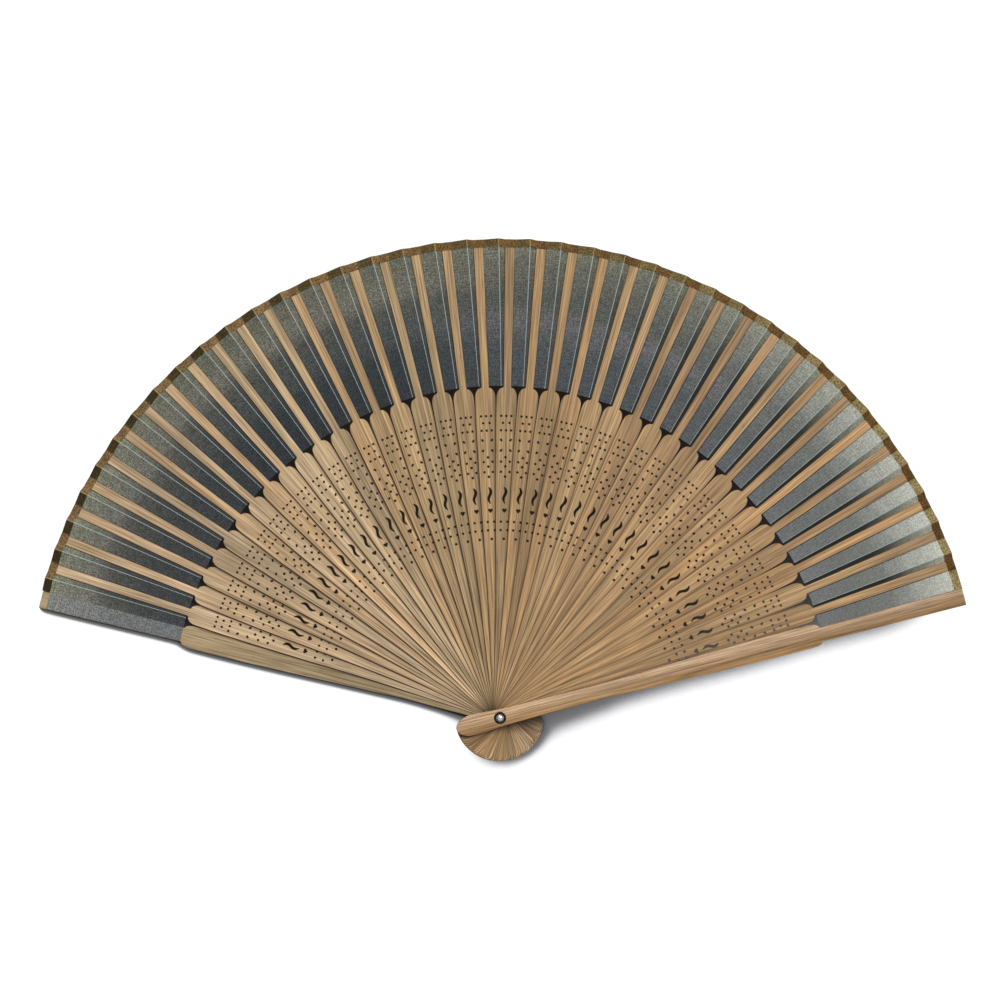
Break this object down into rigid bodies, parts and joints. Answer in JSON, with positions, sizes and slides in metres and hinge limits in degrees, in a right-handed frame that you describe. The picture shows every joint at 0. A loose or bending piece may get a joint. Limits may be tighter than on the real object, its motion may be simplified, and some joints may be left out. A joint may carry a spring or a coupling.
{
  "type": "folding fan",
  "caption": "Folding fan with pierced flat ribs between two guards on one rivet and a pleated fabric leaf with a bound hem; opens and closes about the rivet.",
  "frame": {"origin": "on the rivet's axis, at the rear guard's outer face, on which the fan lies", "axes": "+Z along the rivet towards the front guard; +X across the open fan towards the front guard's tip; +Y from the rivet through the middle of the open fan"},
  "size_m": [0.3724, 0.2102, 0.0251],
  "materials": {
    "rib_bamboo": "satin bamboo, fine straight grain",
    "guard_bamboo": "polished bamboo, straight grain",
    "leaf_silk": "sheer pleated silk, slate shading to sage",
    "hem_tape": "olive-brown woven tape",
    "rivet_steel": "bright steel",
    "washer_steel": "dark plated steel"
  },
  "bodies": {
    "fan_base": {"rear_guard": "guard_bamboo", "leaf": "leaf_silk", "hem_tape": "hem_tape", "rivet": "rivet_steel", "front_washer": "washer_steel", "rear_washer": "washer_steel"},
    "rib_01": {"rib_01": "rib_bamboo"},
    "rib_02": {"rib_02": "rib_bamboo"},
    "rib_03": {"rib_03": "rib_bamboo"},
    "rib_04": {"rib_04": "rib_bamboo"},
    "rib_05": {"rib_05": "rib_bamboo"},
    "rib_06": {"rib_06": "rib_bamboo"},
    "rib_07": {"rib_07": "rib_bamboo"},
    "rib_08": {"rib_08": "rib_bamboo"},
    "rib_09": {"rib_09": "rib_bamboo"},
    "rib_10": {"rib_10": "rib_bamboo"},
    "rib_11": {"rib_11": "rib_bamboo"},
    "rib_12": {"rib_12": "rib_bamboo"},
    "rib_13": {"rib_13": "rib_bamboo"},
    "rib_14": {"rib_14": "rib_bamboo"},
    "rib_15": {"rib_15": "rib_bamboo"},
    "rib_16": {"rib_16": "rib_bamboo"},
    "rib_17": {"rib_17": "rib_bamboo"},
    "rib_18": {"rib_18": "rib_bamboo"},
    "rib_19": {"rib_19": "rib_bamboo"},
    "rib_20": {"rib_20": "rib_bamboo"},
    "rib_21": {"rib_21": "rib_bamboo"},
    "rib_22": {"rib_22": "rib_bamboo"},
    "rib_23": {"rib_23": "rib_bamboo"},
    "rib_24": {"rib_24": "rib_bamboo"},
    "rib_25": {"rib_25": "rib_bamboo"},
    "rib_26": {"rib_26": "rib_bamboo"},
    "rib_27": {"rib_27": "rib_bamboo"},
    "rib_28": {"rib_28": "rib_bamboo"},
    "rib_29": {"rib_29": "rib_bamboo"},
    "rib_30": {"rib_30": "rib_bamboo"},
    "rib_31": {"rib_31": "rib_bamboo"},
    "rib_32": {"rib_32": "rib_bamboo"},
    "rib_33": {"rib_33": "rib_bamboo"},
    "rib_34": {"rib_34": "rib_bamboo"},
    "rib_35": {"rib_35": "rib_bamboo"},
    "rib_36": {"rib_36": "rib_bamboo"},
    "rib_37": {"rib_37": "rib_bamboo"},
    "rib_38": {"rib_38": "rib_bamboo"},
    "front_guard": {"front_guard": "guard_bamboo"}
  },
  "joints": [
    {"name": "fan_close", "type": "hinge", "parent": "fan_base", "child": "front_guard", "pos_m": [0, 0, 0.023], "axis": [0, 0, 1], "range_deg": [0, 151.2], "deforming": ["leaf", "hem_tape"]},
    {"name": "rib_01_turn", "type": "hinge", "parent": "fan_base", "child": "rib_01", "pos_m": [0, 0, 0.0029], "axis": [0, 0, 1], "range_deg": [0, 4.12]},
    {"name": "rib_02_turn", "type": "hinge", "parent": "fan_base", "child": "rib_02", "pos_m": [0, 0, 0.0034], "axis": [0, 0, 1], "range_deg": [0, 7.87]},
    {"name": "rib_03_turn", "type": "hinge", "parent": "fan_base", "child": "rib_03", "pos_m": [0, 0, 0.0039], "axis": [0, 0, 1], "range_deg": [0, 11.63]},
    {"name": "rib_04_turn", "type": "hinge", "parent": "fan_base", "child": "rib_04", "pos_m": [0, 0, 0.0044], "axis": [0, 0, 1], "range_deg": [0, 15.4]},
    {"name": "rib_05_turn", "type": "hinge", "parent": "fan_base", "child": "rib_05", "pos_m": [0, 0, 0.0049], "axis": [0, 0, 1], "range_deg": [0, 19.18]},
    {"name": "rib_06_turn", "type": "hinge", "parent": "fan_base", "child": "rib_06", "pos_m": [0, 0, 0.0054], "axis": [0, 0, 1], "range_deg": [0, 22.97]},
    {"name": "rib_07_turn", "type": "hinge", "parent": "fan_base", "child": "rib_07", "pos_m": [0, 0, 0.0059], "axis": [0, 0, 1], "range_deg": [0, 26.78]},
    {"name": "rib_08_turn", "type": "hinge", "parent": "fan_base", "child": "rib_08", "pos_m": [0, 0, 0.0064], "axis": [0, 0, 1], "range_deg": [0, 30.6]},
    {"name": "rib_09_turn", "type": "hinge", "parent": "fan_base", "child": "rib_09", "pos_m": [0, 0, 0.0069], "axis": [0, 0, 1], "range_deg": [0, 34.44]},
    {"name": "rib_10_turn", "type": "hinge", "parent": "fan_base", "child": "rib_10", "pos_m": [0, 0, 0.0074], "axis": [0, 0, 1], "range_deg": [0, 38.3]},
    {"name": "rib_11_turn", "type": "hinge", "parent": "fan_base", "child": "rib_11", "pos_m": [0, 0, 0.0079], "axis": [0, 0, 1], "range_deg": [0, 42.16]},
    {"name": "rib_12_turn", "type": "hinge", "parent": "fan_base", "child": "rib_12", "pos_m": [0, 0, 0.0084], "axis": [0, 0, 1], "range_deg": [0, 46.04]},
    {"name": "rib_13_turn", "type": "hinge", "parent": "fan_base", "child": "rib_13", "pos_m": [0, 0, 0.0089], "axis": [0, 0, 1], "range_deg": [0, 49.92]},
    {"name": "rib_14_turn", "type": "hinge", "parent": "fan_base", "child": "rib_14", "pos_m": [0, 0, 0.0094], "axis": [0, 0, 1], "range_deg": [0, 53.81]},
    {"name": "rib_15_turn", "type": "hinge", "parent": "fan_base", "child": "rib_15", "pos_m": [0, 0, 0.0099], "axis": [0, 0, 1], "range_deg": [0, 57.7]},
    {"name": "rib_16_turn", "type": "hinge", "parent": "fan_base", "child": "rib_16", "pos_m": [0, 0, 0.0104], "axis": [0, 0, 1], "range_deg": [0, 61.59]},
    {"name": "rib_17_turn", "type": "hinge", "parent": "fan_base", "child": "rib_17", "pos_m": [0, 0, 0.0109], "axis": [0, 0, 1], "range_deg": [0, 65.47]},
    {"name": "rib_18_turn", "type": "hinge", "parent": "fan_base", "child": "rib_18", "pos_m": [0, 0, 0.0114], "axis": [0, 0, 1], "range_deg": [0, 69.35]},
    {"name": "rib_19_turn", "type": "hinge", "parent": "fan_base", "child": "rib_19", "pos_m": [0, 0, 0.0119], "axis": [0, 0, 1], "range_deg": [0, 73.22]},
    {"name": "rib_20_turn", "type": "hinge", "parent": "fan_base", "child": "rib_20", "pos_m": [0, 0, 0.0124], "axis": [0, 0, 1], "range_deg": [0, 77.09]},
    {"name": "rib_21_turn", "type": "hinge", "parent": "fan_base", "child": "rib_21", "pos_m": [0, 0, 0.0129], "axis": [0, 0, 1], "range_deg": [0, 80.94]},
    {"name": "rib_22_turn", "type": "hinge", "parent": "fan_base", "child": "rib_22", "pos_m": [0, 0, 0.0134], "axis": [0, 0, 1], "range_deg": [0, 84.8]},
    {"name": "rib_23_turn", "type": "hinge", "parent": "fan_base", "child": "rib_23", "pos_m": [0, 0, 0.0139], "axis": [0, 0, 1], "range_deg": [0, 88.64]},
    {"name": "rib_24_turn", "type": "hinge", "parent": "fan_base", "child": "rib_24", "pos_m": [0, 0, 0.0144], "axis": [0, 0, 1], "range_deg": [0, 92.48]},
    {"name": "rib_25_turn", "type": "hinge", "parent": "fan_base", "child": "rib_25", "pos_m": [0, 0, 0.0149], "axis": [0, 0, 1], "range_deg": [0, 96.32]},
    {"name": "rib_26_turn", "type": "hinge", "parent": "fan_base", "child": "rib_26", "pos_m": [0, 0, 0.0154], "axis": [0, 0, 1], "range_deg": [0, 100.16]},
    {"name": "rib_27_turn", "type": "hinge", "parent": "fan_base", "child": "rib_27", "pos_m": [0, 0, 0.0159], "axis": [0, 0, 1], "range_deg": [0, 104.01]},
    {"name": "rib_28_turn", "type": "hinge", "parent": "fan_base", "child": "rib_28", "pos_m": [0, 0, 0.0164], "axis": [0, 0, 1], "range_deg": [0, 107.86]},
    {"name": "rib_29_turn", "type": "hinge", "parent": "fan_base", "child": "rib_29", "pos_m": [0, 0, 0.0169], "axis": [0, 0, 1], "range_deg": [0, 111.73]},
    {"name": "rib_30_turn", "type": "hinge", "parent": "fan_base", "child": "rib_30", "pos_m": [0, 0, 0.0174], "axis": [0, 0, 1], "range_deg": [0, 115.6]},
    {"name": "rib_31_turn", "type": "hinge", "parent": "fan_base", "child": "rib_31", "pos_m": [0, 0, 0.0179], "axis": [0, 0, 1], "range_deg": [0, 119.5]},
    {"name": "rib_32_turn", "type": "hinge", "parent": "fan_base", "child": "rib_32", "pos_m": [0, 0, 0.0184], "axis": [0, 0, 1], "range_deg": [0, 123.4]},
    {"name": "rib_33_turn", "type": "hinge", "parent": "fan_base", "child": "rib_33", "pos_m": [0, 0, 0.0189], "axis": [0, 0, 1], "range_deg": [0, 127.32]},
    {"name": "rib_34_turn", "type": "hinge", "parent": "fan_base", "child": "rib_34", "pos_m": [0, 0, 0.0194], "axis": [0, 0, 1], "range_deg": [0, 131.26]},
    {"name": "rib_35_turn", "type": "hinge", "parent": "fan_base", "child": "rib_35", "pos_m": [0, 0, 0.0199], "axis": [0, 0, 1], "range_deg": [0, 135.21]},
    {"name": "rib_36_turn", "type": "hinge", "parent": "fan_base", "child": "rib_36", "pos_m": [0, 0, 0.0204], "axis": [0, 0, 1], "range_deg": [0, 139.17]},
    {"name": "rib_37_turn", "type": "hinge", "parent": "fan_base", "child": "rib_37", "pos_m": [0, 0, 0.0209], "axis": [0, 0, 1], "range_deg": [0, 143.14]},
    {"name": "rib_38_turn", "type": "hinge", "parent": "fan_base", "child": "rib_38", "pos_m": [0, 0, 0.0214], "axis": [0, 0, 1], "range_deg": [0, 147.12]}
  ],
  "couplings": [
    {"joint": "rib_01_turn", "follows": "fan_close", "ratio": 0.027116},
    {"joint": "rib_02_turn", "follows": "fan_close", "ratio": 0.05193},
    {"joint": "rib_03_turn", "follows": "fan_close", "ratio": 0.076788},
    {"joint": "rib_04_turn", "follows": "fan_close", "ratio": 0.10171},
    {"joint": "rib_05_turn", "follows": "fan_close", "ratio": 0.12671},
    {"joint": "rib_06_turn", "follows": "fan_close", "ratio": 0.1518},
    {"joint": "rib_07_turn", "follows": "fan_close", "ratio": 0.17698},
    {"joint": "rib_08_turn", "follows": "fan_close", "ratio": 0.20227},
    {"joint": "rib_09_turn", "follows": "fan_close", "ratio": 0.22766},
    {"joint": "rib_10_turn", "follows": "fan_close", "ratio": 0.25314},
    {"joint": "rib_11_turn", "follows": "fan_close", "ratio": 0.2787},
    {"joint": "rib_12_turn", "follows": "fan_close", "ratio": 0.30434},
    {"joint": "rib_13_turn", "follows": "fan_close", "ratio": 0.33002},
    {"joint": "rib_14_turn", "follows": "fan_close", "ratio": 0.35573},
    {"joint": "rib_15_turn", "follows": "fan_close", "ratio": 0.38146},
    {"joint": "rib_16_turn", "follows": "fan_close", "ratio": 0.40718},
    {"joint": "rib_17_turn", "follows": "fan_close", "ratio": 0.43288},
    {"joint": "rib_18_turn", "follows": "fan_close", "ratio": 0.45854},
    {"joint": "rib_19_turn", "follows": "fan_close", "ratio": 0.48415},
    {"joint": "rib_20_turn", "follows": "fan_close", "ratio": 0.50971},
    {"joint": "rib_21_turn", "follows": "fan_close", "ratio": 0.53522},
    {"joint": "rib_22_turn", "follows": "fan_close", "ratio": 0.56068},
    {"joint": "rib_23_turn", "follows": "fan_close", "ratio": 0.58611},
    {"joint": "rib_24_turn", "follows": "fan_close", "ratio": 0.61151},
    {"joint": "rib_25_turn", "follows": "fan_close", "ratio": 0.63691},
    {"joint": "rib_26_turn", "follows": "fan_close", "ratio": 0.66232},
    {"joint": "rib_27_turn", "follows": "fan_close", "ratio": 0.68776},
    {"joint": "rib_28_turn", "follows": "fan_close", "ratio": 0.71325},
    {"joint": "rib_29_turn", "follows": "fan_close", "ratio": 0.73881},
    {"joint": "rib_30_turn", "follows": "fan_close", "ratio": 0.76445},
    {"joint": "rib_31_turn", "follows": "fan_close", "ratio": 0.79018},
    {"joint": "rib_32_turn", "follows": "fan_close", "ratio": 0.81601},
    {"joint": "rib_33_turn", "follows": "fan_close", "ratio": 0.84195},
    {"joint": "rib_34_turn", "follows": "fan_close", "ratio": 0.86798},
    {"joint": "rib_35_turn", "follows": "fan_close", "ratio": 0.89411},
    {"joint": "rib_36_turn", "follows": "fan_close", "ratio": 0.92031},
    {"joint": "rib_37_turn", "follows": "fan_close", "ratio": 0.94658},
    {"joint": "rib_38_turn", "follows": "fan_close", "ratio": 0.97288}
  ]
}
